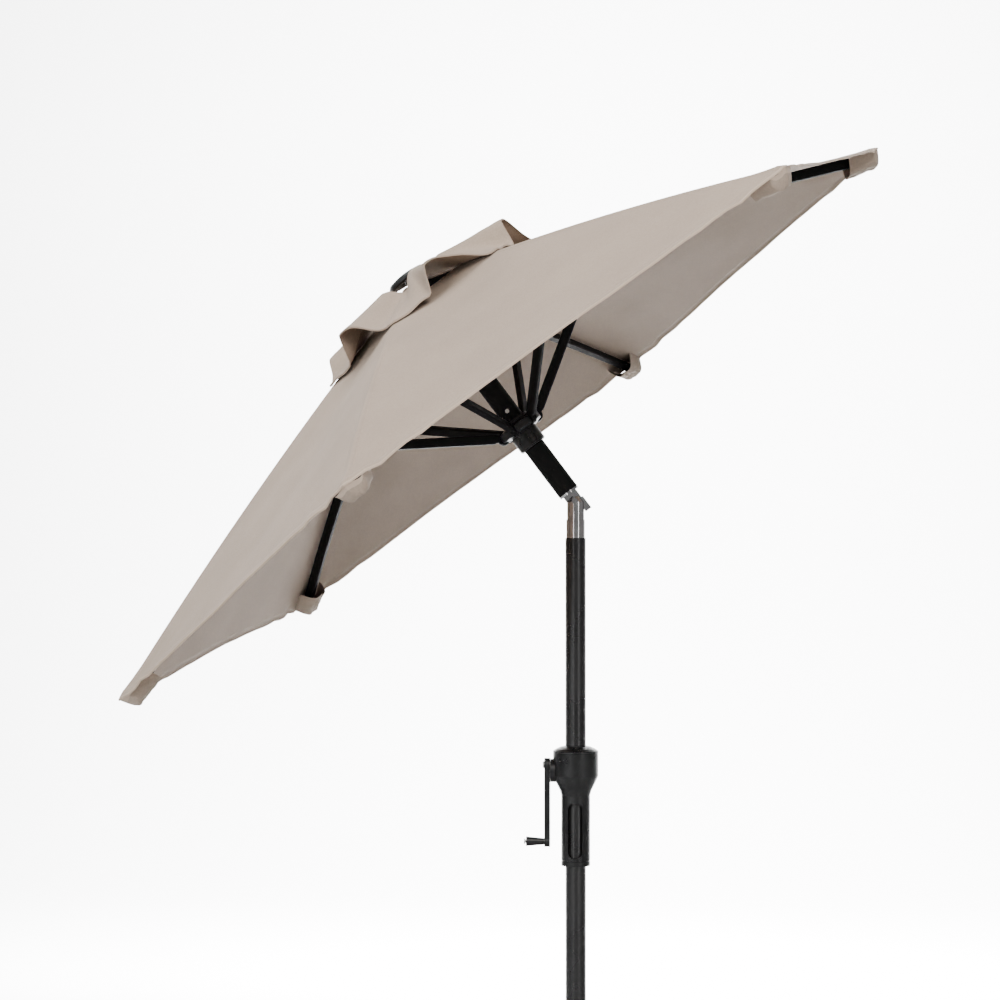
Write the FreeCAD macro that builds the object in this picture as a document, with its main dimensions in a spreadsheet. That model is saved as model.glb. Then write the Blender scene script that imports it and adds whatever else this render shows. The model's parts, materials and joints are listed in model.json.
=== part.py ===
"""Tilting six-rib patio umbrella with a crank, a wind vent and a round cast base.

The origin is on the floor under the mast, +Z is up, and the canopy leans towards -X about a
tilt pin that lies along Y.  Three frames place the pieces: the mast frame stands on the floor,
the pole frame has its origin on the tilt pin and leans with the upper pole, and each rib or
strut has a frame on its own pivot with X along its length and Y along its pivot pin.
"""
import FreeCAD, Part
import math
import os
import re

import Sketcher
from FreeCAD import Placement, Rotation, Vector

# Driving dimensions in millimetres and degrees.
SIZES = {
    # base
    "foot_height": 8, "foot_radius": 16, "foot_circle": 185,
    "base_radius": 225, "base_rim": 16, "base_centre": 40,
    "flange_radius": 56, "flange_thickness": 6, "bolt_circle": 43, "bolt_radius": 4,
    "socket_inner": 21.3, "socket_outer": 24.3, "socket_length": 300,
    "bush_inner": 19.2, "bush_outer": 21.2, "clamp_height": 300, "clamp_screw_radius": 5,
    "knob_radius": 20,
    # mast
    "mast_radius": 19, "mast_wall": 1.5, "mast_foot": 48.3, "pole_split": 1010, "pin_height": 1660,
    "coupler_length": 160, "ferrule_radius": 17.4, "ferrule_exposed": 68, "ferrule_length": 130,
    "ear_height": 9, "fork_gap": 16.4, "fork_depth": 34, "pin_radius": 4, "pin_half_length": 18.5,
    # crank housing, measured down from the tilt pin
    "housing_bottom": 674, "housing_top": 464, "housing_radius": 42, "housing_bore": 19.3,
    "sleeve_radius": 26.75, "sleeve_length": 130, "cone_top": 166, "window_width": 27,
    "window_low": 27, "window_high": 104, "crank_drop": 488, "crank_length": 142,
    "crank_head": 12.5, "boss_radius": 21.5, "boss_offset": 10.5,
    "crank_inside": 47.5, "crank_thickness": 10.5, "drum_radius": 10, "axle_radius": 6,
    "grip_length": 35, "grip_small": 6, "grip_large": 9, "grip_pin_radius": 3,
    # upper pole, measured up the pole from the tilt pin
    "tilt_angle": 37, "pole_radius": 20.3, "pole_inner": 18.5, "pole_bottom": 22, "pole_top": 474,
    "hub_height": 485, "hub_radius": 38, "rib_circle": 30, "wire_radius": 1.6,
    "finial_foot": 500.3, "finial_radius": 41, "rivet_height": 209, "pulley_height": 435,
    "runner_height": 172, "runner_circle": 38, "runner_radius": 27, "runner_bore": 20.8,
    # ribs and struts
    "rib_count": 6, "first_rib_angle": 13.9, "rib_drop": 19.3, "rib_length": 896, "rib_bow": 12,
    "rib_width": 12, "rib_depth": 20, "rib_wall": 1.4, "strut_station": 330, "strut_offset": 12,
    "knuckle_radius": 12, "knuckle_width": 9.6,
    # canopy
    "cloth_rise": 13.5, "cloth_thickness": 1.6, "vent_hole": 100, "vent_edge": 212,
    "vent_top": 511, "vent_inner": 14, "gore_gap": 0.1,
}

doc = FreeCAD.newDocument("patio_umbrella")
sheet = doc.addObject("Spreadsheet::Sheet", "dims")
for row, (alias, number) in enumerate(SIZES.items(), start=1):
    sheet.set("A%d" % row, alias)
    sheet.set("B%d" % row, str(number))
    sheet.setAlias("B%d" % row, alias)
doc.recompute()

AXES = {
    "z": Rotation(),
    "x": Rotation(Vector(0, 1, 0), 90),
    "-x": Rotation(Vector(0, 1, 0), -90),
    "y": Rotation(Vector(1, 0, 0), -90),
}
nodes = []


def size(alias):
    """The number in the sheet's cell with this alias."""
    return float(sheet.get(alias))


def expression(value):
    """A number, or words of the sheet, as the text that setExpression reads."""
    def with_sheet(found):
        word = found.group()
        return "dims." + word if word in SIZES else word
    return re.sub(r"[a-z_]+", with_sheet, str(value))


def bound(kind, at, axis, **sizes):
    """A primitive whose sizes and corner are bound to the sheet."""
    item = doc.addObject(kind, "shape")
    item.Placement = Placement(Vector(), AXES[axis])
    for name, value in sizes.items():
        item.setExpression(name, expression(value))
    for letter, value in zip("xyz", at):
        item.setExpression("Placement.Base." + letter, expression(value))
    return item


def rod(radius, length, at=(0, 0, 0), axis="z"):
    return bound("Part::Cylinder", at, axis, Radius=radius, Height=length)


def cone(radius_start, radius_end, length, at=(0, 0, 0), axis="z"):
    return bound("Part::Cone", at, axis, Radius1=radius_start, Radius2=radius_end, Height=length)


def block(length, width, height, at):
    return bound("Part::Box", at, "z", Length=length, Width=width, Height=height)


def ring(radius, wire, height):
    return bound("Part::Torus", (0, 0, height), "z", Radius1=radius, Radius2=wire)


def fused(*items):
    result = doc.addObject("Part::MultiFuse", "fused")
    result.Shapes = list(items)
    return result


def cut(base, *tools):
    result = doc.addObject("Part::Cut", "cut")
    result.Base = base
    result.Tool = tools[0] if len(tools) == 1 else fused(*tools)
    return result


def tube(outer, inner, length, at=(0, 0, 0), axis="z"):
    return cut(rod(outer, length, at, axis), rod(inner, length, at, axis))


def around(count, radius, make):
    """Copies made by make(x, y), evenly spaced on a circle."""
    copies = []
    for index in range(count):
        turn = 2 * math.pi * index / count
        x = "%s * %.6f" % (radius, math.cos(turn))
        y = "%s * %.6f" % (radius, math.sin(turn))
        copies.append(make(x, y))
    return copies


def turned(name, outline):
    """A body revolved about Z from an outline of (radius, height) corners bound to the sheet."""
    body = doc.addObject("PartDesign::Body", name)
    sketch = body.newObject("Sketcher::SketchObject", name + "_outline")
    plane = next(item for item in body.Origin.OriginFeatures if item.Role == "XZ_Plane")
    sketch.AttachmentSupport = [(plane, "")]
    sketch.MapMode = "FlatFace"
    count = len(outline)
    start = [Vector(60 + 40 * math.cos(2 * math.pi * k / count),
                    60 + 40 * math.sin(2 * math.pi * k / count), 0) for k in range(count)]
    for k in range(count):
        sketch.addGeometry(Part.LineSegment(start[k], start[(k + 1) % count]), False)
    for k in range(count):
        sketch.addConstraint(Sketcher.Constraint("Coincident", k, 2, (k + 1) % count, 1))
    for k, corner in enumerate(outline):
        for kind, value, first, axis in (("DistanceX", corner[0], start[k].x, -2),
                                         ("DistanceY", corner[1], start[k].y, -1)):
            if value == 0:
                sketch.addConstraint(Sketcher.Constraint("PointOnObject", k, 1, axis))
            else:
                index = sketch.addConstraint(Sketcher.Constraint(kind, -1, 1, k, 1, first))
                sketch.setExpression("Constraints[%d]" % index, expression(value))
    turn = body.newObject("PartDesign::Revolution", name + "_turn")
    turn.Profile = sketch
    turn.ReferenceAxis = (sketch, ["V_Axis"])
    turn.Angle = 360
    return body


def node(label, place, *items):
    """One named sub-part: its solids in their own frame, set in place."""
    part = doc.addObject("Part::Compound", label)
    part.Links = list(items)
    part.Label = label
    part.Placement = place
    nodes.append(part)


def shaped(label, place, shape):
    """One named sub-part whose shape is worked out from the sheet in this script."""
    part = doc.addObject("Part::Feature", label)
    part.Shape = shape
    part.Label = label
    part.Placement = place
    nodes.append(part)


def standing(height):
    return Placement(Vector(0, 0, height), Rotation())


PIN = standing(size("pin_height"))
POLE = Placement(PIN.Base, Rotation(Vector(0, 1, 0), -size("tilt_angle")))


def spoke(index):
    """The pole frame turned so that its X points along the given rib."""
    angle = size("first_rib_angle") + 360 / size("rib_count") * index
    return POLE * Placement(Vector(), Rotation(Vector(0, 0, 1), angle))


def spoke_slots(width, at):
    """Radial slots in line with the ribs, open outwards and upwards from the given corner."""
    slots = []
    for index in range(int(size("rib_count"))):
        slot = doc.addObject("Part::Compound", "turned_slot")
        slot.Links = [block(40, width, 40, at)]
        angle = size("first_rib_angle") + 360 / size("rib_count") * index
        slot.Placement = Placement(Vector(), Rotation(Vector(0, 0, 1), angle))
        slots.append(slot)
    return slots


def make_base():
    """Cast plate on rubber feet, with a bolted socket tube, two bushes and a clamp screw."""
    top = size("foot_height") + size("base_centre")
    feet = around(6, "foot_circle", lambda x, y: rod("foot_radius", "foot_height", (x, y, 0)))
    node("base_feet", Placement(), rod("foot_radius", "foot_height"), *feet)

    plate = turned("plate", [
        (0, 0), ("base_radius - 3", 0), ("base_radius", 3), ("base_radius", "base_rim"),
        ("base_radius - 8", "base_rim + 5"), ("flange_radius + 40", "base_centre - 9"),
        ("flange_radius + 8", "base_centre"), (0, "base_centre")])
    holes = around(4, "bolt_circle", lambda x, y: rod("bolt_radius + 0.2", 30, (x, y, "base_centre - 24")))
    node("base_weight", standing(size("foot_height")), cut(plate, *holes))

    socket = turned("socket", [
        ("socket_inner", 0), ("flange_radius", 0), ("flange_radius", "flange_thickness"),
        ("socket_outer + 3", "flange_thickness"), ("socket_outer", "flange_thickness + 3"),
        ("socket_outer", "socket_length"), ("socket_inner", "socket_length")])
    boss = rod(10, 16, ("socket_outer - 1", 0, "clamp_height - base_centre - foot_height"), "x")
    thread = rod("clamp_screw_radius + 0.1", 40, (5, 0, "clamp_height - base_centre - foot_height"), "x")
    bore = rod("socket_inner", 100, (0, 0, "clamp_height - base_centre - foot_height - 50"))
    bolt_holes = around(4, "bolt_circle", lambda x, y: rod("bolt_radius + 0.2", 10, (x, y, -1)))
    node("base_tube", standing(top), cut(fused(socket, boss), thread, bore, *bolt_holes))

    bolts = around(4, "bolt_circle", lambda x, y: fused(
        rod("bolt_radius", 26, (x, y, "flange_thickness - 26")), rod(7, 5, (x, y, "flange_thickness"))))
    node("base_bolts", standing(top), *bolts)

    lower = tube("bush_outer", "bush_inner", 30, (0, 0, 12))
    upper = cut(fused(rod("bush_outer", 20, (0, 0, "socket_length - 20")),
                      rod("socket_outer + 1.2", 4, (0, 0, "socket_length + 0.05")),
                      rod("bush_outer", 4, (0, 0, "socket_length - 1"))),
                rod("bush_inner", 40, (0, 0, "socket_length - 30")))
    node("pole_bushes", standing(top), lower, upper)

    clamp = standing(size("clamp_height"))
    node("clamp_screw", clamp, rod("clamp_screw_radius", 44, ("mast_radius + 0.4", 0, 0), "x"))
    lobes = [rod(5, 30, (48, "(knob_radius + 2) * %.6f" % math.cos(math.pi / 3 * k),
                         "(knob_radius + 2) * %.6f" % math.sin(math.pi / 3 * k)), "x") for k in range(6)]
    grip = fused(rod("knob_radius", 16, (52, 0, 0), "x"),
                 cone("knob_radius - 1.5", "knob_radius - 6", 5, (68, 0, 0), "x"),
                 rod(11, 10, (42, 0, 0), "x"))
    screw_hole = rod("clamp_screw_radius + 0.05", 27, (38, 0, 0), "x")
    node("clamp_knob", clamp, cut(grip, screw_hole, *lobes))


def make_mast():
    """Two-piece mast, its inner coupler, and the lower half of the tilt joint."""
    node("lower_pole", standing(size("mast_foot")),
         tube("mast_radius", "mast_radius - mast_wall", "pole_split - mast_foot"))
    node("pole_coupler", standing(size("pole_split") - size("coupler_length") / 2),
         tube("mast_radius - mast_wall - 0.05", "mast_radius - 2 * mast_wall", "coupler_length"))
    upper_length = "pin_height - ferrule_exposed - pole_split"
    crank_level = "pin_height - crank_drop - pole_split"
    node("mast_tube", standing(size("pole_split")),
         cut(tube("mast_radius", "mast_radius - mast_wall", upper_length),
             rod("axle_radius + 0.4", 60, (-30, 0, crank_level), "x")))

    ferrule = turned("ferrule", [
        (0, 0), ("ferrule_radius", 0), ("ferrule_radius", "ferrule_length - 1"),
        ("ferrule_radius - 7", "ferrule_length + ear_height"), (0, "ferrule_length + ear_height")])
    fork = block(60, "fork_gap", "fork_depth + ear_height + 5",
                 (-30, "-fork_gap / 2", "ferrule_length - fork_depth"))
    pin_hole = rod("pin_radius + 0.02", 60, (0, -30, "ferrule_length"), "y")
    cord_hole = rod(4, "ferrule_length", (0, 0, -5))
    node("lower_ferrule", standing(size("pin_height") - size("ferrule_length")),
         cut(ferrule, fork, pin_hole, cord_hole))

    pin = cut(fused(rod("pin_radius", "pin_half_length * 2", (0, "-pin_half_length", 0), "y"),
                    rod("pin_radius + 2.5", 2, (0, "pin_half_length", 0), "y")),
              rod(2.4, 60, (0, -30, 0), "y"))
    node("tilt_pin", PIN, pin)
    node("tilt_button", PIN, fused(rod(5.5, 3, (0, -25, 0), "y"), rod(2.2, 34, (0, -23, 0), "y")))
    node("mast_rivets", PIN,
         rod(3.5, 1.5, (0, "mast_radius + 0.02", "-ferrule_exposed - 20"), "y"),
         rod(3.5, 1.5, (0, "mast_radius + 0.02", "-ferrule_exposed - 45"), "y"))
    node("lift_cord_lower", PIN,
         rod(1.5, "crank_drop - drum_radius - fork_depth - 12", (0, 0, "drum_radius + 10 - crank_drop")))


def make_housing():
    """Crank housing: a hollow turned shell with a window, a domed cap and its screws."""
    shell = turned("shell", [
        ("housing_bore", 0), ("sleeve_radius - 0.5", 0), ("sleeve_radius", 1),
        ("sleeve_radius", 8), ("sleeve_radius - 0.8", 8.5), ("sleeve_radius - 0.8", 10),
        ("sleeve_radius", 10.5),
        ("sleeve_radius", "sleeve_length"), ("sleeve_radius + 2.5", "sleeve_length + 9"),
        ("housing_radius - 1", "cone_top - 3"),
        ("housing_radius", "cone_top"), ("housing_radius", "housing_bottom - housing_top"),
        ("housing_radius - 4", "housing_bottom - housing_top"), ("housing_radius - 4", "cone_top + 2"),
        ("sleeve_radius - 3", "sleeve_length + 11"), ("housing_bore", "sleeve_length + 11")])
    window = fused(
        block("window_width", 20, "window_high - window_low", ("-window_width / 2", -32, "window_low")),
        rod("window_width / 2", 20, (0, -32, "window_low"), "y"),
        rod("window_width / 2", 20, (0, -32, "window_high"), "y"))
    boss = rod("boss_radius", 9.5, ("1 - crank_inside", 0, "housing_bottom - crank_drop - boss_offset"), "x")
    axle_hole = rod("axle_radius + 0.5", 40, (-60, 0, "housing_bottom - crank_drop"), "x")
    screw_levels = (45, 100)
    screw_holes = [rod(3.7, 12, (0, 19, level), "y") for level in screw_levels]
    node("housing_body", standing(size("pin_height") - size("housing_bottom")),
         cut(fused(shell, boss), window, axle_hole, *screw_holes))
    node("housing_screws", standing(size("pin_height") - size("housing_bottom")),
         *[rod(3.5, 7, (0, "housing_bore + 0.5", level), "y") for level in screw_levels])
    node("housing_cap", standing(size("pin_height") - size("housing_top") + 0.2), turned("cap", [
        ("housing_bore", 0), ("housing_radius", 0), ("housing_radius", 2), ("housing_radius - 6", 6),
        ("housing_radius - 14", 9.5), ("housing_bore + 2", 11), ("housing_bore", 11)]))


def make_crank():
    """Spool and axle across the mast, with the arm and its turning grip on the -X side."""
    level = standing(size("pin_height") - size("crank_drop"))
    drum = fused(rod("drum_radius", 22, (-11, 0, 0), "x"), rod("drum_radius + 2", 2, (-11, 0, 0), "x"),
                 rod("drum_radius + 2", 2, (9, 0, 0), "x"),
                 rod("axle_radius", "crank_inside + 26", ("-crank_inside", 0, 0), "x"))
    node("crank_spool", level, drum)
    outside = "-crank_inside - crank_thickness"
    arm = fused(rod("crank_head", "crank_thickness", (outside, 0, 0), "x"),
                rod(10, "crank_thickness", (outside, 0, "-crank_length"), "x"),
                block("crank_thickness", 18, "crank_length", (outside, -9, "-crank_length")))
    node("crank_arm", level, cut(arm,
                                 rod("grip_pin_radius + 0.02", 30, (-70, 0, "-crank_length"), "x")))
    node("crank_screw", level, rod(6, 3, (outside + " - 3.02", 0, 0), "x"))
    node("grip_pin", level, fused(
        rod("grip_pin_radius", "grip_length + crank_thickness + 2",
            (outside + " - grip_length - 2", 0, "-crank_length"), "x"),
        rod(5, 2, (outside + " - grip_length - 3", 0, "-crank_length"), "x")))
    grip = cone("grip_small", "grip_large", "grip_length - 1.5", (outside + " - 0.5", 0, "-crank_length"), "-x")
    node("crank_grip", level, cut(grip, rod("grip_pin_radius + 0.1", 80,
                                            ("-crank_inside - 70", 0, "-crank_length"), "x")))


def make_upper_pole():
    """Leaning pole with the tongue of the tilt joint, the rib hub, the finial and the pulley."""
    node("upper_pole", POLE, tube("pole_radius", "pole_inner", "pole_top - pole_bottom", (0, 0, "pole_bottom")))
    tongue = "fork_gap - 0.8"
    knuckle = fused(
        rod(14, tongue, (0, "0.4 - fork_gap / 2", 0), "y"),
        block(28, tongue, 20, (-14, "0.4 - fork_gap / 2", 0)),
        block(13, tongue, 27, (4, "0.4 - fork_gap / 2", -27)),
        rod("pole_radius", "pole_bottom - 18", (0, 0, 18)),
        rod("pole_inner - 0.1", 58, (0, 0, 18)))
    node("upper_knuckle", POLE, cut(knuckle, rod("pin_radius + 0.1", 60, (0, -30, 0), "y"),
                                    rod(4, 80, (0, 0, 15))))
    node("pole_rivet", POLE, rod(4, 2.2, (0, "-pole_radius - 2.25", "rivet_height"), "y"))

    hub = turned("hub", [
        (0, 0), ("pole_inner - 0.1", 0), ("pole_inner - 0.1", 20.1), ("hub_radius - 4", 20.1),
        ("hub_radius", 23), ("hub_radius", 38), ("hub_radius - 3", 40.5), (14, 42), (14, 46), (0, 46)])
    wire_level = "hub_height - pole_top + 20"
    node("top_hub", POLE * standing(size("pole_top") - 20),
         cut(hub, ring("rib_circle", "wire_radius + 0.1", wire_level), *spoke_slots(10, (21.5, -5, 19))))
    node("hub_wire", POLE, ring("rib_circle", "wire_radius", "hub_height"))
    node("finial", POLE * standing(size("finial_foot")), turned("knob", [
        (0, 0), (8, 0), (8, 12), ("finial_radius - 5", 15), ("finial_radius", 18),
        ("finial_radius", 22), ("finial_radius - 4", 26), (24, 29), (0, 30)]))
    node("pulley", POLE, cut(rod(6, 8, (7.5, -4, "pulley_height"), "y"),
                             rod(2.6, 8, (7.5, -4, "pulley_height"), "y")))
    node("pulley_pin", POLE, rod(2.5, 32, (7.5, -16, "pulley_height"), "y"))
    node("lift_cord_upper", POLE, rod(1.5, "pulley_height - 80", (0, 0, 80)),
         rod(1.5, "pulley_height - 200", (15.1, 0, 200)))


def make_runner():
    """Sliding runner with six slots for the strut knuckles, threaded on a ring wire."""
    foot = size("runner_height") - 43
    runner = turned("sleeve", [
        ("runner_bore", 0), ("runner_radius - 2", 0), ("runner_radius", 3), ("runner_radius", 31),
        ("runner_circle + 4", 35), ("runner_circle + 6", 37), ("runner_circle + 6", 49),
        ("runner_circle + 4", 51), ("runner_radius", 55), ("runner_radius", 61), ("runner_bore", 61)])
    slots = spoke_slots("knuckle_width + 0.8", (25, "-knuckle_width / 2 - 0.4", 27))
    node("runner", POLE * standing(foot), cut(runner, ring("runner_circle", "wire_radius + 0.1", 43), *slots))
    node("runner_wire", POLE, ring("runner_circle", "wire_radius", "runner_height"))


def bow(station):
    """Height of the bowed rib's centre line over the straight line between its ends."""
    length = size("rib_length")
    return 4 * size("rib_bow") * station * (length - station) / length ** 2


def rib_solid():
    """Bowed tube, open at its tip, with a drilled tongue at the hub end."""
    inner, outer = 12, size("rib_length") - 12
    middle = (inner + outer) / 2

    def bowed_bar(first, half, width):
        def edge(offset, start, end):
            return Part.Arc(*[Vector(x, -width / 2, bow(x) + offset) for x in (start, middle, end)]).toShape()

        top, bottom = edge(half, first, outer), edge(-half, outer, first)
        ends = [Part.makeLine(top.Vertexes[-1].Point, bottom.Vertexes[0].Point),
                Part.makeLine(bottom.Vertexes[-1].Point, top.Vertexes[0].Point)]
        return Part.Face(Part.Wire([top, ends[0], bottom, ends[1]])).extrude(Vector(0, width, 0))

    bar = bowed_bar(inner, size("rib_depth") / 2, size("rib_width"))
    long_edges = [item for item in bar.Edges if item.Length > outer - inner - 5]
    wall = size("rib_wall")
    bar = bar.makeFillet(3, long_edges).cut(
        bowed_bar(inner + 16, size("rib_depth") / 2 - wall, size("rib_width") - 2 * wall))
    tongue = Part.makeCylinder(8, 9, Vector(0, -4.5, 0), Vector(0, 1, 0))
    tongue = tongue.fuse(Part.makeBox(14, 9, 15, Vector(0, -4.5, -7.5)))
    hole = Part.makeCylinder(size("wire_radius") + 0.5, 20, Vector(0, -10, 0), Vector(0, 1, 0))
    return bar.fuse(tongue).cut(hole).removeSplitter()


def rib_fittings():
    """Strut bracket with its pin under the rib, and the cap on the rib's tip."""
    station, drop, radius = size("strut_station"), -size("strut_offset"), size("knuckle_radius")
    side = size("rib_width") / 2 + 0.1
    bracket = Part.makeCylinder(3, 2 * side + 6, Vector(station, -side - 3, drop), Vector(0, 1, 0))
    for start in (-side - 3, side):
        ear = Part.makeCylinder(radius, 3, Vector(station, start, drop), Vector(0, 1, 0))
        ear = ear.fuse(Part.makeBox(2 * radius, 3, bow(station) + 7 - drop,
                                    Vector(station - radius, start, drop)))
        bracket = bracket.fuse(ear)
    tip = Part.makeBox(13, 14, 21, Vector(size("rib_length") - 11.8, -7, -10.5))
    tip = tip.makeFillet(3, tip.Edges)
    return Part.makeCompound([bracket.removeSplitter(), tip])


def strut_solid(length):
    """Straight tube with a flat plate and a round drilled knuckle at each end."""
    half, width, radius = size("rib_depth") / 2 - 1, size("rib_width"), size("knuckle_radius")
    thick = size("knuckle_width")
    bar = Part.makeBox(length - 32, width, 2 * half, Vector(16, -width / 2, -half))
    bar = bar.makeFillet(3, [item for item in bar.Edges if item.Length > length - 40])
    wall = size("rib_wall")
    solid = bar.cut(Part.makeBox(length, width - 2 * wall, 2 * (half - wall),
                                 Vector(0, wall - width / 2, wall - half)))
    for start in (0, length - 34):
        solid = solid.fuse(Part.makeBox(34, thick, 14, Vector(start, -thick / 2, -7)))
    for station, hole_radius in ((0, size("wire_radius") + 0.5), (length, 4.2)):
        solid = solid.fuse(Part.makeCylinder(radius, thick, Vector(station, -thick / 2, 0), Vector(0, 1, 0)))
        solid = solid.cut(Part.makeCylinder(hole_radius, 30, Vector(station, -15, 0), Vector(0, 1, 0)))
    return solid.removeSplitter()


def ridge(station):
    """Radius and height, in the pole frame, of the cloth over a rib at a station along it."""
    drop = math.radians(size("rib_drop"))
    rise = bow(station) + size("cloth_rise")
    radius = size("rib_circle") + station * math.cos(drop) + rise * math.sin(drop)
    height = size("hub_height") - station * math.sin(drop) + rise * math.cos(drop)
    return radius, height


def cloth_solid(profile):
    """Thin kite folded over a rib: half a gore on each side, following (radius, height) points."""
    half_gore = math.pi / size("rib_count")
    edge = half_gore - math.radians(size("gore_gap"))
    drop = Vector(0, 0, -size("cloth_thickness"))
    strips = []
    for (inner, high), (outer, low) in zip(profile, profile[1:]):
        for side in (-1, 1):
            corners = [Vector(inner, 0, high), Vector(outer, 0, low)]
            for radius, height in ((outer, low), (inner, high)):
                reach = radius * math.cos(half_gore) / math.cos(half_gore - edge)
                corners.append(Vector(reach * math.cos(edge), side * reach * math.sin(edge), height))
            strips.append(Part.Face(Part.makePolygon(corners + corners[:1])).extrude(drop))
    return strips[0].fuse(strips[1:]).removeSplitter()


def make_spokes():
    """Each rib with its fittings, its kite of canopy and vent cloth, and its strut."""
    drop = math.radians(size("rib_drop"))
    station, offset = size("strut_station"), size("strut_offset")
    reach = size("rib_circle") + station * math.cos(drop) - offset * math.sin(drop) - size("runner_circle")
    rise = size("hub_height") - station * math.sin(drop) - offset * math.cos(drop) - size("runner_height")
    strut_length, strut_angle = math.hypot(reach, rise), math.degrees(math.atan2(rise, reach))

    length = size("rib_length")
    main = [ridge(size("vent_hole") + (length + 4 - size("vent_hole")) * k / 5) for k in range(6)]
    edge_radius, edge_height = ridge(size("vent_edge"))
    vent = [(size("vent_inner"), size("vent_top")), (edge_radius, edge_height + 4.5)]
    cloth = Part.makeCompound([cloth_solid(main), cloth_solid(vent)])
    rib, fittings, strut = rib_solid(), rib_fittings(), strut_solid(strut_length)
    for index in range(int(size("rib_count"))):
        frame = spoke(index)
        rib_frame = frame * Placement(Vector(size("rib_circle"), 0, size("hub_height")),
                                      Rotation(Vector(0, 1, 0), size("rib_drop")))
        strut_frame = frame * Placement(Vector(size("runner_circle"), 0, size("runner_height")),
                                        Rotation(Vector(0, 1, 0), -strut_angle))
        shaped("rib_%d" % (index + 1), rib_frame, rib)
        shaped("rib_fittings_%d" % (index + 1), rib_frame, fittings)
        shaped("strut_%d" % (index + 1), strut_frame, strut)
        shaped("canopy_%d" % (index + 1), frame, cloth)


make_base()
make_mast()
make_housing()
make_crank()
make_upper_pole()
make_runner()
make_spokes()
doc.recompute()

failed = [item.Label for item in doc.Objects if "Invalid" in item.State or "Error" in item.State]
for part in nodes:
    if part.Shape.isNull() or not part.Shape.isValid() or not part.Shape.Solids:
        failed.append(part.Label)
if failed:
    raise RuntimeError("failed pieces: " + ", ".join(failed))

os.makedirs("parts", exist_ok=True)
for part in nodes:
    part.Shape.exportStep("parts/%s.step" % part.Label)
print(len(nodes), "sub-parts written")
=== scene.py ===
"""Looks of the tilting patio umbrella: sewn canvas canopy, black metalwork, chrome tilt joint."""
import json
import math

import bpy
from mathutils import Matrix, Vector, noise


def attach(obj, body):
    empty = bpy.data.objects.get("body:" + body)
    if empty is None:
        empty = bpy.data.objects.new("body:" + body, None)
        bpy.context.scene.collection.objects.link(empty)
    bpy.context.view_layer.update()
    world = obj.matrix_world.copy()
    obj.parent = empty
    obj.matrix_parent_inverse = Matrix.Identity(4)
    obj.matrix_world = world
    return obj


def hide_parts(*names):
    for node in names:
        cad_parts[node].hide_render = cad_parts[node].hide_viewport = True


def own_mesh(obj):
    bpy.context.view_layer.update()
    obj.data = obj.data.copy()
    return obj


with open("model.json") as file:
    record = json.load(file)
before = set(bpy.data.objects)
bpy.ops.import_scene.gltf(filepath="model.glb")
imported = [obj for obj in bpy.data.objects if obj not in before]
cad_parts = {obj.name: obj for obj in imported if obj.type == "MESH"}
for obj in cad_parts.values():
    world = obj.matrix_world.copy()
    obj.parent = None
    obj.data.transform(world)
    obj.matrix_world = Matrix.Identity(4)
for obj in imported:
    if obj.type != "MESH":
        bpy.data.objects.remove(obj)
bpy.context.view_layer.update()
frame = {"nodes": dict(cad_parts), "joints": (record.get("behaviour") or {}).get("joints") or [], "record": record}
joints = {joint["name"]: joint for joint in frame["joints"]}

# Dimensions shared with the CAD model, in metres.
RIBS = 6
RIB_LENGTH = 0.896
RIB_DROP = math.radians(19.3)
RIB_BOW = 0.012
RIB_CIRCLE = 0.030   # radius of the circle of rib pivots
HUB_HEIGHT = 0.485   # of the rib pivots above the tilt pin, along the upper pole
CLOTH_RISE = 0.0135  # of the cloth above a rib's middle line
VENT_HOLE = 0.100    # station along a rib where the canopy starts
VENT_EDGE = 0.212    # station that the vent cloth reaches
VENT_TOP = 0.506
VENT_INNER = 0.014

# Sewing: how far each seam and hem reaches.
CLOTH_THICKNESS = 0.0011
POCKET_THICKNESS = 0.0009
HEM_WIDTH = 0.018
HEM_STEP = 0.0009    # height of the folded hem
HEM_TURN = 0.0025    # width of the edge that is turned down
SEAM_HALF = 0.009
SEAM_STEP = 0.0007
THREAD_PITCH = 0.0011
STITCH_OFFSET = 0.0062
STITCH_HALF = 0.0006
# half width of the band of painted shade along each row of stitches
STITCH_SHADE_HALF = 0.0013
STITCHES_PER_METRE = 250.0
STITCH_SHARE = 0.68
# width of the painted highlight, a lighter line, along the hem's edge
HEM_HIGHLIGHT_WIDTH = 0.0022

# How the canopy hangs between the ribs and puckers at its corners.
GORE_SAG = 0.010
HEM_SAG = 0.003
HEM_CURVE = 0.016
CLOTH_OVERHANG = 0.012
CORNER_HALF = 0.022
CORNER_BLUNT = 0.001
CREASES = ((0.75, 0.0030), (1.3, 0.0022))  # slope away from the rib, depth
CREASE_HALF = 0.007
RIPPLES = ((0.16, 0.0035), (0.055, 0.0009))  # size, height

# How the vent cloth folds up between the ribs.
VENT_LIFT = 0.054
VENT_RISE = 0.0048   # of its edge above the canopy
VENT_WIDTH = 0.175   # along a rib
FOLD_START = 0.74    # share of the half gore where the steep side of a fold starts
FOLD_END = 0.97
VENT_SPREAD = 0.006

# Pockets for the rib tips.
POCKET_LENGTH = 0.074
POCKET_HALF = 0.030
POCKET_DEPTH = 0.0335
POCKET_LIP = 0.004
POCKET_CLOSING = 0.865  # share of the length where the pocket starts to close
POCKET_CREASE = 0.0065

# Studio and camera.
FLOOR_HALF = 30.0
FLOOR_END = 7.0
BACKDROP_BEND = 4.0
BACKDROP_TOP = 12.0
BEND_STEPS = 12
FLOOR_GAP = 0.0005
STRIP_HEIGHT = 3.0
SKY_STRENGTH = 0.36
CAMERA_PLACE = (0.2615, -5.1131, 1.5827)
CAMERA_LENS = 99.36
CAMERA_YAW = math.radians(4.497)
CAMERA_PITCH = math.radians(0.892)

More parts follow.
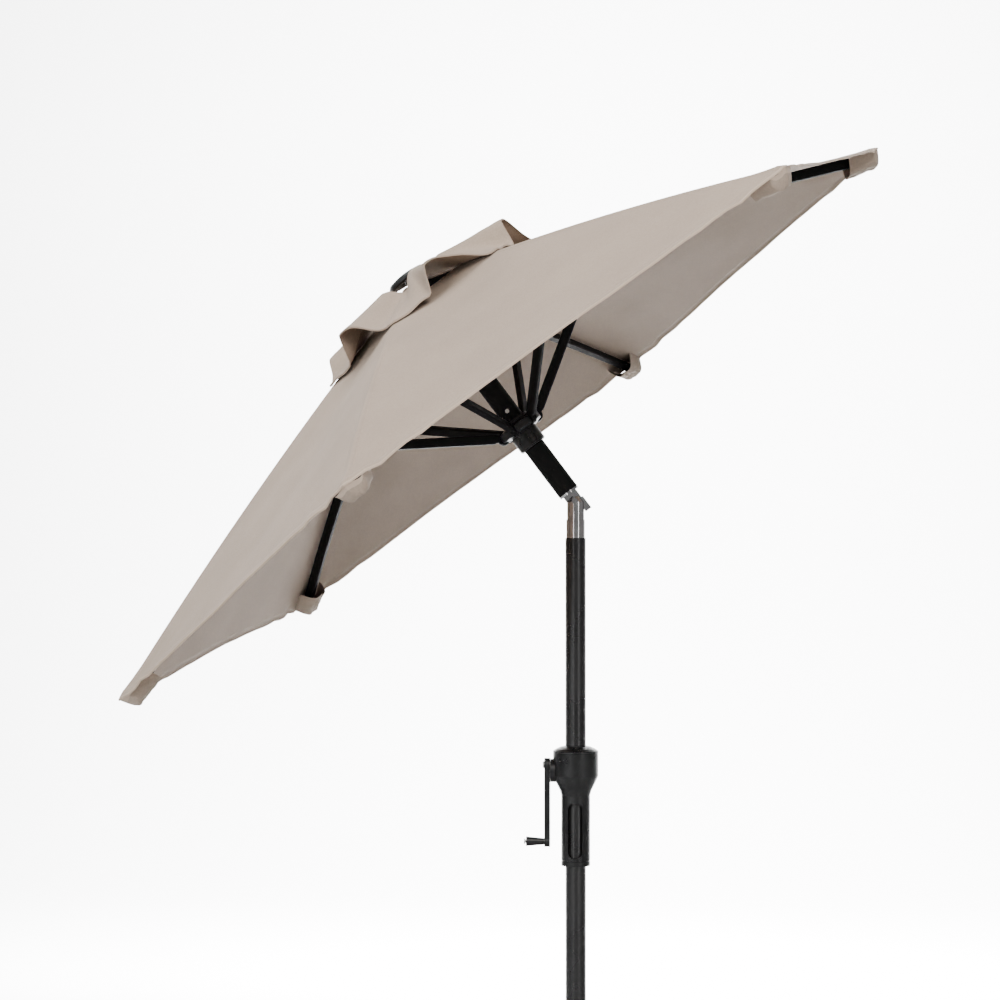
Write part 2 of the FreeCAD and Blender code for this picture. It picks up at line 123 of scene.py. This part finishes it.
PIN = Vector(joints["mast_tilt"]["pos_m"])
UP = -Vector(joints["runner_slide"]["axis"]).normalized()


def rib_axes(index):
    """Outward and sideways directions of one rib in the row frame."""
    sideways = Vector(joints["rib_fold_%d" % (index + 1)]["axis"]).normalized()
    return sideways.cross(UP).normalized(), sideways


def bow(station):
    """Height of a bowed rib above its straight line."""
    return 4 * RIB_BOW * station * (RIB_LENGTH - station) / RIB_LENGTH ** 2


def ridge(station, rise=CLOTH_RISE):
    """Distance from the pole's axis and height above the pin of the cloth over a rib."""
    lift = bow(station) + rise
    radius = RIB_CIRCLE + station * math.cos(RIB_DROP) + lift * math.sin(RIB_DROP)
    height = HUB_HEIGHT - station * math.sin(RIB_DROP) + lift * math.cos(RIB_DROP)
    return radius, height


def half_gore(radius):
    """Half the width of a gore, square to its rib, where the rib is at a radius."""
    return radius * math.sin(math.pi / RIBS) * math.cos(math.pi / RIBS)


def gore_keep():
    """Share of its width that a gore keeps when the ribs are folded to their limit.

    It is worked out where the canopy comes out from under the vent; further out, gores that kept
    this share would keep a little more than they should, overlap there and leave no slit. Nothing here applies it.
    """
    fold = math.radians(joints["rib_fold_1"]["range_deg"][1])
    radius, height = ridge(VENT_EDGE)
    out = radius * math.cos(math.pi / RIBS) ** 2 - RIB_CIRCLE
    down = height - HUB_HEIGHT
    folded = RIB_CIRCLE + out * math.cos(fold) + down * math.sin(fold)
    return folded / (out + RIB_CIRCLE)


GORE_KEEP = gore_keep()


# ---------------------------------------------------------------- materials

def link(tree, source, target):
    tree.links.new(source, target)


class Finish:
    """A material with one principled shader, built up from small groups of nodes."""

    def __init__(self, name, roughness, metallic=0.0, **sockets):
        self.material = bpy.data.materials.new(name)
        self.material.use_nodes = True
        self.tree = self.material.node_tree
        self.shader = self.tree.nodes["Principled BSDF"]
        self.shader.inputs["Roughness"].default_value = roughness
        self.shader.inputs["Metallic"].default_value = metallic
        for socket, value in sockets.items():
            self.shader.inputs[socket.replace("_", " ")].default_value = value
        self.place = self.tree.nodes.new("ShaderNodeTexCoord").outputs["Object"]
        self.normal = None

    def node(self, kind, **inputs):
        """New node with its inputs linked or set."""
        item = self.tree.nodes.new(kind)
        for socket, value in inputs.items():
            self.fill(item.inputs[socket.replace("_", " ")], value)
        return item

    def noise(self, scale, detail=3.0, where=None):
        return self.node("ShaderNodeTexNoise", Vector=where or self.place, Scale=scale,
                         Detail=detail).outputs["Fac"]

    def ramp(self, factor, *stops):
        """Colour ramp over (position, colour) stops; a number makes a grey."""
        item = self.node("ShaderNodeValToRGB", Fac=factor)
        elements = item.color_ramp.elements
        while len(elements) < len(stops):
            elements.new(0.5)
        for element, (position, colour) in zip(elements, stops):
            element.position = position
            shade = (colour,) * 3 if isinstance(colour, float) else colour
            element.color = (*shade, 1)
        return item.outputs["Color"]

    def fill(self, target, value):
        """Link an input to a socket, or give it a plain value."""
        if isinstance(value, bpy.types.NodeSocket):
            link(self.tree, value, target)
        else:
            target.default_value = value

    def mixed(self, factor, first, second, blend="MIX"):
        item = self.tree.nodes.new("ShaderNodeMix")
        item.data_type = "RGBA"
        item.blend_type = blend
        for socket, value in ((0, factor), (6, first), (7, second)):
            self.fill(item.inputs[socket], value)
        return item.outputs[2]

    def math(self, operation, first, second=0.0):
        item = self.tree.nodes.new("ShaderNodeMath")
        item.operation = operation
        for socket, value in enumerate((first, second)):
            self.fill(item.inputs[socket], value)
        return item.outputs[0]

    def colour(self, source):
        link(self.tree, source, self.shader.inputs["Base Color"])

    def roughness(self, source):
        link(self.tree, source, self.shader.inputs["Roughness"])

    def bump(self, height, strength, distance):
        item = self.node("ShaderNodeBump", Height=height, Strength=strength, Distance=distance)
        if self.normal:
            link(self.tree, self.normal, item.inputs["Normal"])
        self.normal = item.outputs["Normal"]
        link(self.tree, self.normal, self.shader.inputs["Normal"])


def scaled(shade, share):
    """Colour made lighter or darker."""
    return tuple(c * share for c in shade)


def canvas(name, light, dark):
    """Plain-woven canvas: warp and weft, slubs, soft mottling and two rows of stitches, with painted shade in the
    stitch grooves and a painted highlight along the hem edge.
    """
    finish = Finish(name, 0.9, Sheen_Weight=0.06, Sheen_Roughness=0.5, Specular_IOR_Level=0.2)
    uv = finish.node("ShaderNodeUVMap")
    uv.uv_map = "cloth"
    parts = finish.node("ShaderNodeSeparateXYZ", Vector=uv.outputs["UV"])
    along, across = parts.outputs["X"], parts.outputs["Y"]
    thread = 2 * math.pi / THREAD_PITCH
    warp = finish.math("SINE", finish.math("MULTIPLY", along, thread))
    weft = finish.math("SINE", finish.math("MULTIPLY", across, thread))
    weave = finish.math("MULTIPLY", warp, weft)
    slub = finish.noise(260, 2.0)
    cloud = finish.noise(7, 4.0)
    fleck = finish.noise(900, 1.0)
    base = finish.ramp(cloud, (0.3, dark), (0.7, light))
    base = finish.mixed(0.18, base, finish.ramp(slub, (0.35, 0.36), (0.65, 0.64)), "OVERLAY")
    base = finish.mixed(0.16, base, finish.ramp(fleck, (0.3, 0.36), (0.7, 0.64)), "OVERLAY")

    row = finish.math("ABSOLUTE", across)
    row = finish.math("ABSOLUTE", finish.math("SUBTRACT", row, STITCH_OFFSET))
    in_row = finish.math("LESS_THAN", row, STITCH_HALF)
    dash = finish.math("FRACT", finish.math("MULTIPLY", along, STITCHES_PER_METRE))
    dash = finish.math("LESS_THAN", dash, STITCH_SHARE)
    stitch = finish.math("MULTIPLY", in_row, dash)
    # Painted shade: a band along each row of stitches is darkened, as if the thread pulled the cloth down there.
    stitch_groove_shade = finish.math("LESS_THAN", row, STITCH_SHADE_HALF)
    # Painted highlight: the outermost strip of cloth and its turned-down edge are made lighter, as where light
    # catches the hem.
    hem_edge_highlight = finish.math("GREATER_THAN", along, RIB_LENGTH + CLOTH_OVERHANG - HEM_HIGHLIGHT_WIDTH)
    # Painted shade along the stitch rows, lighter thread on the stitches, painted highlight along the hem edge.
    for mask, strength, shade in ((stitch_groove_shade, 0.35, scaled(dark, 0.55)),
                                  (stitch, 0.8, scaled(light, 1.25)),
                                  (hem_edge_highlight, 0.6, scaled(light, 1.5))):
        base = finish.mixed(finish.math("MULTIPLY", mask, strength), base, (*shade, 1))
    finish.colour(base)
    finish.roughness(finish.ramp(slub, (0.2, 0.78), (0.8, 0.93)))
    finish.bump(weave, 0.25, 0.0003)
    finish.bump(slub, 0.15, 0.0006)
    finish.bump(stitch, 0.6, 0.0006)
    return finish.material


def powder_coat(name, shade, roughness, gloss):
    """Powder-coated metal: fine orange peel, dusty variation and worn lighter specks."""
    finish = Finish(name, roughness, 0.0, Specular_IOR_Level=gloss)
    cloud = finish.noise(9, 5.0)
    peel = finish.noise(900, 2.0)
    speck = finish.noise(320, 2.0)
    base = finish.ramp(cloud, (0.3, scaled(shade, 0.8)), (0.7, scaled(shade, 1.25)))
    worn = finish.ramp(speck, (0.70, 0.0), (0.76, 0.35))
    base = finish.mixed(worn, base, (0.05, 0.048, 0.046, 1))
    finish.colour(base)
    finish.roughness(finish.ramp(cloud, (0.3, roughness - 0.06), (0.7, roughness + 0.1)))
    finish.bump(peel, 0.12, 0.0004)
    return finish.material


def cast_iron(name):
    """Textured black paint over a sand casting, with dust in the hollows."""
    finish = Finish(name, 0.62, 0.0, Specular_IOR_Level=0.45)
    grain = finish.noise(420, 4.0)
    lump = finish.noise(60, 3.0)
    dust = finish.noise(12, 5.0)
    base = finish.ramp(grain, (0.35, (0.018, 0.017, 0.017)), (0.7, (0.05, 0.048, 0.046)))
    base = finish.mixed(finish.ramp(dust, (0.5, 0.0), (0.8, 0.28)), base, (0.16, 0.145, 0.125, 1))
    finish.colour(base)
    finish.roughness(finish.ramp(dust, (0.3, 0.5), (0.8, 0.8)))
    finish.bump(lump, 0.3, 0.002)
    finish.bump(grain, 0.5, 0.0008)
    return finish.material


def plastic(name, shade, roughness=0.42):
    """Injection-moulded plastic with a fine spark-eroded grain and faint rubbed patches."""
    finish = Finish(name, roughness, 0.0, Specular_IOR_Level=0.3)
    grain = finish.noise(1500, 2.0)
    rub = finish.noise(22, 4.0)
    base = finish.ramp(rub, (0.35, scaled(shade, 0.85)), (0.75, scaled(shade, 1.5)))
    finish.colour(base)
    finish.roughness(finish.ramp(rub, (0.3, roughness - 0.08), (0.75, roughness + 0.12)))
    finish.bump(grain, 0.18, 0.0003)
    return finish.material


def metal(name, shade, roughness, streak=True):
    """Bright metal with drawn streaks, smudges and tiny pits."""
    finish = Finish(name, roughness, 1.0)
    smudge = finish.noise(30, 5.0)
    pits = finish.noise(700, 2.0)
    base = finish.ramp(smudge, (0.3, scaled(shade, 0.82)), (0.7, shade))
    finish.colour(finish.mixed(0.12, base, finish.ramp(pits, (0.3, 0.25), (0.6, 0.8)), "OVERLAY"))
    finish.roughness(finish.ramp(smudge, (0.3, roughness * 0.7), (0.75, roughness * 1.8)))
    if streak:
        stretched = finish.node("ShaderNodeMapping", Vector=finish.place)
        stretched.inputs["Scale"].default_value = (60, 60, 900)
        finish.bump(finish.noise(1.0, 2.0, stretched.outputs["Vector"]), 0.06, 0.0003)
    return finish.material


def rubber(name):
    """Dull moulded rubber."""
    finish = Finish(name, 0.8)
    grain = finish.noise(500, 3.0)
    finish.colour(finish.ramp(grain, (0.3, (0.018, 0.018, 0.018)), (0.8, (0.05, 0.05, 0.048))))
    finish.bump(grain, 0.4, 0.0006)
    return finish.material


def braid(name):
    """Pale braided cord."""
    finish = Finish(name, 0.75)
    wave = finish.node("ShaderNodeTexWave", Vector=finish.place, Scale=420.0, Distortion=1.5)
    finish.colour(finish.ramp(wave.outputs["Fac"], (0.2, (0.52, 0.5, 0.46)),
                              (0.8, (0.8, 0.78, 0.73))))
    finish.bump(wave.outputs["Fac"], 0.5, 0.0006)
    return finish.material


def paper(name, near, far):
    """Studio paper with the faintest mottling and painted shade: darker in front, graded to lighter towards the
    backdrop.
    """
    finish = Finish(name, 0.9)
    where = finish.node("ShaderNodeSeparateXYZ", Vector=finish.place).outputs["Y"]
    # Painted shade: the floor keeps the darker near tone up to about y = 1.5 m and grades to the lighter far tone
    # by about y = 4.4 m.
    depth = finish.math("MULTIPLY", finish.math("SUBTRACT", where, 1.5), 0.35)
    shade = finish.mixed(depth, (near, near, near, 1), (far, far, far, 1))
    mottle = finish.ramp(finish.noise(3.0, 2.0), (0.3, 0.4), (0.7, 0.6))
    finish.colour(finish.mixed(0.03, shade, mottle, "OVERLAY"))
    return finish.material


CANVAS = canvas("taupe_canvas", (0.330, 0.256, 0.199), (0.299, 0.232, 0.181))
LINING = canvas("taupe_canvas_pocket", (0.370, 0.292, 0.232), (0.333, 0.262, 0.209))
FINISHES = {
    "powder_coat": powder_coat("black_powder_coat", (0.0075, 0.0072, 0.0076), 0.27, 0.5),
    "cast_base": cast_iron("black_cast_iron"),
    "black_plastic": plastic("black_moulded_plastic", (0.0075, 0.0075, 0.0080), 0.33),
    "chrome_steel": metal("polished_chrome", (0.44, 0.43, 0.43), 0.08, streak=False),
    "zinc_steel": metal("zinc_steel", (0.58, 0.58, 0.57), 0.3),
    "foot_rubber": rubber("foot_rubber"),
    "taupe_canvas": CANVAS,
    "white_cord": braid("braided_cord"),
}
MATT_COAT = powder_coat("matt_powder_coat", (0.0070, 0.0068, 0.0070), 0.60, 0.08)
MATT_NODES = ("rib_", "strut_", "upper_pole")


def dress_cad_nodes():
    """Give every CAD piece the finish of its slot; the pieces under the canopy are matt."""
    for part in frame["record"]["subparts"]:
        mesh = frame["nodes"][part["node"]].data
        mesh.materials.clear()
        matt = part["material_slot"] == "powder_coat" and part["node"].startswith(MATT_NODES)
        mesh.materials.append(MATT_COAT if matt else FINISHES[part["material_slot"]])


# ---------------------------------------------------------------- canopy

SEAM_STEPS = (0.0, 0.003, STITCH_OFFSET, SEAM_HALF - STITCH_HALF, SEAM_HALF + STITCH_HALF,
              0.013)
GORE_COLUMNS = 16


def columns(half_width):
    """Sideways distances from a rib to the middle of the gore, close together over the seam."""
    scale = min(1.0, half_width / 0.03)
    near = [step * scale for step in SEAM_STEPS]
    left = half_width - near[-1]
    return near + [near[-1] + left * k / GORE_COLUMNS for k in range(1, GORE_COLUMNS + 1)]


def smooth(value):
    """Ease from 0 to 1, flat at both ends."""
    value = min(1.0, max(0.0, value))
    return value * value * (3 - 2 * value)


def ripple(point, size, amount):
    """Gentle unevenness of stretched cloth."""
    return amount * noise.noise(point / size)


def bell(distance, width):
    """Smooth bump, 1 at no distance."""
    return math.exp(-(distance / width) ** 2)


def gore_share(sideways, half_width):
    """0 over a rib and 1 in the middle of the gore."""
    return math.sin(math.pi / 2 * min(1.0, abs(sideways) / half_width)) ** 2


def grid_mesh(name, vertices, uvs, width, facing_down=False):
    """Mesh over a grid with width vertices to a row; uvs holds (along, across) in metres."""
    faces = []
    for first in range(len(vertices) - width):
        if (first + 1) % width:
            if facing_down:
                faces.append((first, first + width, first + width + 1, first + 1))
            else:
                faces.append((first, first + 1, first + width + 1, first + width))
    mesh = bpy.data.meshes.new(name)
    mesh.from_pydata(vertices, [], faces)
    layer = mesh.uv_layers.new(name="cloth")
    for loop, corner in zip(mesh.loops, layer.data):
        corner.uv = uvs[loop.vertex_index]
    return mesh


def sheet_mesh(name, rows, place):
    """Grid over half a gore on each side of a rib; place(row, sideways, half) gives the point."""
    vertices, uvs = [], []
    for row in rows:
        half_width = half_gore(row["radius"])
        steps = columns(half_width)
        for sideways in [-step for step in reversed(steps[1:])] + steps:
            vertices.append(place(row, sideways, half_width))
            uvs.append((row["along"], sideways))
    return grid_mesh(name, vertices, uvs, len(vertices) // len(rows))


def finish_mesh(name, mesh, material, thickness=CLOTH_THICKNESS, levels=0):
    """Object made from a mesh, given its thickness and smooth shading, modifiers applied."""
    piece = bpy.data.objects.new(name, mesh)
    bpy.context.collection.objects.link(piece)
    mesh.materials.append(material)
    if thickness:
        solid = piece.modifiers.new("thickness", "SOLIDIFY")
        solid.thickness = thickness
        solid.offset = -1
    if levels:
        piece.modifiers.new("rounding", "SUBSURF").levels = levels
    bpy.context.view_layer.update()
    depsgraph = bpy.context.evaluated_depsgraph_get()
    done = bpy.data.meshes.new_from_object(piece.evaluated_get(depsgraph))
    piece.modifiers.clear()
    piece.data = done
    done.name = name
    for polygon in done.polygons:
        polygon.use_smooth = True
    done.set_sharp_from_angle(angle=math.radians(50))
    return piece


def hem_profile(distance):
    """Extra height of the folded hem at a distance from the cloth's edge."""
    if distance > HEM_WIDTH + 0.001:
        return 0.0
    return HEM_STEP * smooth((HEM_WIDTH + 0.001 - distance) / 0.0015)


def corner_lift(index, row, sideways, mid):
    """Height of the puckers, creases and raised tip of the cloth around a rib's end."""
    from_hem = row["from_hem"]
    lift = 0.0
    for slope, depth in CREASES:
        pull = (abs(sideways) - 0.012 - slope * from_hem) / CREASE_HALF
        lift -= (depth * math.exp(-pull ** 2 - (from_hem / 0.055) ** 2)
                 * smooth(abs(sideways) / 0.03 - 0.4))
    pucker = bell(from_hem, 0.11) * bell(mid, 0.30) * (1 - bell(mid, 0.10))
    lift += 0.0045 * pucker * math.sin(mid * 70 + index * 1.7 + from_hem * 25)
    return lift + 0.004 * bell(from_hem - 0.02, 0.03) * bell(sideways, 0.03)


def canopy_point(index):
    """Function that places a point of the canopy sheet over one rib."""
    outward, across = rib_axes(index)

    def place(row, sideways, half_width):
        share = gore_share(sideways, half_width)
        mid = abs(sideways) / half_width
        inset = HEM_CURVE * share * row["hem_share"]
        inset += CORNER_BLUNT * bell(sideways, CORNER_HALF) * smooth(1 - row["from_hem"] / 0.03)
        radius = row["radius"] - inset
        height = row["height"] + inset * math.tan(RIB_DROP)
        inward = abs(sideways) * radius / row["radius"] * math.tan(math.pi / RIBS)
        sag = GORE_SAG * share * math.sin(math.pi * min(1.0, row["share"] ** 0.8)) + HEM_SAG * share
        point = PIN + UP * (height - sag) + outward * (radius - inward)
        point += across * sideways * (radius / row["radius"])
        lift = hem_profile(row["from_hem"]) + corner_lift(index, row, sideways, mid)
        if abs(sideways) < SEAM_HALF:
            lift += SEAM_STEP
        for (size, amount), where in zip(RIPPLES, (share, smooth(mid / 0.2))):
            lift += ripple(point, size, amount) * where
        return point + UP * lift
    return place


def cloth_row(station, first, last):
    """What canopy_point needs to know about one station along a rib."""
    radius, height = ridge(station)
    share = (station - first) / (last - first)
    return {"radius": radius, "height": height, "along": station, "from_hem": last - station,
            "share": share, "hem_share": smooth(share) ** 2}


def radial_rows(first, last, count, hem_extra):
    """Stations along a rib from first to last, with extra ones at the hem."""
    stations = [first + (last - HEM_WIDTH - 0.004 - first) * k / count for k in range(count + 1)]
    stations += [last - HEM_WIDTH - 0.001, last - HEM_WIDTH + 0.0005, last - HEM_WIDTH / 2,
                 last - 0.002, last]
    rows = [cloth_row(station, first, last) for station in stations]
    edge = dict(rows[-1])
    edge["height"] -= hem_extra
    edge["along"] += hem_extra
    rows.append(edge)
    return rows


def make_canopy(index):
    """Canopy sheet of one rib: half a gore on each side of it."""
    body, joint = "rib_%d" % (index + 1), "rib_fold_%d" % (index + 1)
    across = rib_axes(index)[1]
    rows = radial_rows(VENT_HOLE, RIB_LENGTH + CLOTH_OVERHANG, 30, HEM_TURN)
    mesh = sheet_mesh("canopy_cloth_%d" % (index + 1), rows, canopy_point(index))
    cloth = finish_mesh("canopy_cloth_%d" % (index + 1), mesh, CANVAS)
    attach(cloth, body)
    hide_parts("canopy_%d" % (index + 1))
    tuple(across)
    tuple(joints[joint]["pos_m"])
    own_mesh(cloth)


def vent_rows():
    """Rows of the vent cloth, from the finial to its turned-down edge."""
    edge_radius, edge_height = ridge(VENT_EDGE, CLOTH_RISE + VENT_RISE)
    rows = []
    for share in [k / 16 for k in range(16)] + [0.955, 0.965, 0.985, 1.0]:
        rows.append({"radius": VENT_INNER + (edge_radius - VENT_INNER) * share,
                     "height": VENT_TOP + (edge_height - VENT_TOP) * share,
                     "share": share, "along": share * VENT_WIDTH - 0.003,
                     "from_hem": (1 - share) * 0.19})
    edge = dict(rows[-1])
    edge["height"] -= HEM_TURN
    rows.append(edge)
    return rows


def vent_point(index):
    """Function that places a point of the vent sheet over one rib.

    The cloth stands up in the middle of each gore; at its edge the fold leans to one side.
    """
    outward, across = rib_axes(index)

    def place(row, sideways, half_width):
        share = gore_share(sideways, half_width)
        mid = abs(sideways) / half_width
        flare = smooth((row["share"] - 0.10) / 0.2) * 0.5 + 0.5 * row["share"] ** 1.3
        inward = abs(sideways) * math.tan(math.pi / RIBS)
        steep = smooth((mid - FOLD_START) / (FOLD_END - FOLD_START))
        gentle = smooth(mid / 0.94) ** 1.15
        late = smooth(row["share"] ** 2)
        edge_fold = steep if sideways > 0 else gentle
        rise = VENT_LIFT * flare * (gentle * (1 - late) + edge_fold * late)
        spread = 1 + VENT_SPREAD * flare * share / row["radius"]
        point = PIN + UP * (row["height"] + rise) + outward * (row["radius"] - inward) * spread
        point += across * sideways * spread
        lift = hem_profile(row["from_hem"])
        if abs(sideways) < SEAM_HALF * min(1.0, half_width / 0.03):
            lift += 0.0006
        lift += 0.0022 * flare * math.sin(mid * 9 + index * 2.1) * mid * (1 - mid) * 4
        lift += ripple(point, 0.05, 0.0018) * flare * share
        return point + UP * lift
    return place


def make_vent(index):
    """Vent sheet of one rib, above the hole in the canopy."""
    body, joint = "rib_%d" % (index + 1), "rib_fold_%d" % (index + 1)
    rows = vent_rows()
    mesh = sheet_mesh("vent_cloth_%d" % (index + 1), rows, vent_point(index))
    cloth = finish_mesh("vent_cloth_%d" % (index + 1), mesh, CANVAS)
    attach(cloth, body)
    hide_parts("canopy_%d" % (index + 1))
    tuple(rib_axes(index)[1])
    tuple(joints[joint]["pos_m"])
    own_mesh(cloth)


def make_pocket(index):
    """Patch of lighter cloth under a hem corner, sewn at both sides, that holds the rib's tip."""
    outward = rib_axes(index)[0]
    over = (UP * math.cos(RIB_DROP) + outward * math.sin(RIB_DROP)).normalized()
    surface = canopy_point(index)
    rows, steps = 16, 24
    last = RIB_LENGTH + CLOTH_OVERHANG
    name = "rib_pocket_%d" % (index + 1)
    vertices, uvs = [], []
    for r in range(rows + 1):
        share = r / rows
        open_share = 1 - smooth((share - POCKET_CLOSING) / (1 - POCKET_CLOSING))
        closing = math.sqrt(max(0.0, open_share))
        lip = POCKET_LIP * (1 - share) ** 3
        for c in range(steps + 1):
            t = 2 * c / steps - 1
            sideways = t * POCKET_HALF
            straight = abs(sideways) * math.tan(math.pi / RIBS) / math.cos(RIB_DROP) * (1 - share)
            mouth = 0.006 * (1 - t * t) * (1 - share)
            station = last - POCKET_LENGTH * (1 - share) + straight - mouth
            row = cloth_row(station, VENT_HOLE, last)
            fold = abs(noise.noise(Vector((2.6 * t + share, 3.2 * share - t, 3.7 * index))))
            belly = 0.0015 + (POCKET_DEPTH + lip) * closing * (1 - abs(t) ** 3.0)
            belly += POCKET_CREASE * fold * (1 - t * t) * closing
            vertices.append(surface(row, sideways, half_gore(row["radius"])) - over * belly)
            uvs.append((station, 0.02 + abs(sideways)))
    mesh = grid_mesh(name, vertices, uvs, steps + 1, facing_down=True)
    pocket = finish_mesh(name, mesh, LINING, POCKET_THICKNESS, 1)
    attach(pocket, "rib_%d" % (index + 1))


# ---------------------------------------------------------------- studio

def make_studio():
    """Pale floor that curves up into a backdrop, soft lights, two narrow strips, a white sky."""
    profile = [(-FLOOR_HALF, 0.0), (FLOOR_END, 0.0)]
    for k in range(1, BEND_STEPS + 1):
        turn = math.pi / 2 * k / BEND_STEPS
        profile.append((FLOOR_END + BACKDROP_BEND * math.sin(turn),
                        BACKDROP_BEND * (1 - math.cos(turn))))
    profile.append((FLOOR_END + BACKDROP_BEND, BACKDROP_TOP))
    vertices = [(side, y, z - FLOOR_GAP) for y, z in profile for side in (-FLOOR_HALF, FLOOR_HALF)]
    faces = [(2 * k, 2 * k + 1, 2 * k + 3, 2 * k + 2) for k in range(len(profile) - 1)]
    mesh = bpy.data.meshes.new("studio_floor")
    mesh.from_pydata(vertices, [], faces)
    for polygon in mesh.polygons:
        polygon.use_smooth = True
    # Floor painted darker in front and lighter towards the backdrop.
    mesh.materials.append(paper("paper_with_painted_falloff", 0.47, 0.93))
    floor = bpy.data.objects.new("studio_floor", mesh)
    bpy.context.collection.objects.link(floor)

    # name, place, target, width, power, tint
    lights = (("key", (1.0, -4.8, 4.7), (-0.1, 0, 1.8), 2.4, 245, (1.0, 0.972, 0.938)),
              ("fill", (-4.0, -4.0, 3.0), (0, 0, 1.7), 2.6, 200, (0.95, 0.985, 1.0)),
              ("top", (-1.2, -0.6, 5.8), (-0.2, 0, 1.5), 3.2, 240, (0.98, 0.99, 1.0)),
              ("back", (0.0, 4.4, 3.6), (0, 10.5, 1.6), 5.0, 4800, (1.0, 1.0, 1.0)),
              ("strip_right", (3.3, -4.0, 1.5), (0, 0, 1.4), 0.32, 34, (1.0, 1.0, 1.0)),
              ("strip_left", (-2.0, -5.0, 1.5), (0, 0, 1.4), 0.24, 26, (1.0, 1.0, 1.0)))
    for name, place, target, width, power, tint in lights:
        data = bpy.data.lights.new(name, "AREA")
        data.size = width
        if name.startswith("strip"):
            data.shape = "RECTANGLE"
            data.size_y = STRIP_HEIGHT
        data.energy = power
        data.color = tint
        lamp = bpy.data.objects.new(name, data)
        lamp.location = place
        lamp.rotation_euler = (Vector(target) - Vector(place)).to_track_quat("-Z", "Y").to_euler()
        bpy.context.collection.objects.link(lamp)

    world = bpy.data.worlds.new("white_sky")
    world.use_nodes = True
    sky = world.node_tree.nodes["Background"]
    sky.inputs["Color"].default_value = (1, 1, 1, 1)
    sky.inputs["Strength"].default_value = SKY_STRENGTH
    bpy.context.scene.world = world


def make_camera():
    """Level view from the front, a little to the right of the mast, at the tilt joint's height."""
    data = bpy.data.cameras.new("camera")
    data.sensor_width = 36.0
    data.lens = CAMERA_LENS
    camera = bpy.data.objects.new("camera", data)
    camera.location = CAMERA_PLACE
    camera.rotation_euler = (math.pi / 2 + CAMERA_PITCH, 0.0, CAMERA_YAW)
    bpy.context.collection.objects.link(camera)
    bpy.context.scene.camera = camera


dress_cad_nodes()
for rib in range(RIBS):
    make_canopy(rib)
    make_vent(rib)
    make_pocket(rib)
make_studio()
make_camera()
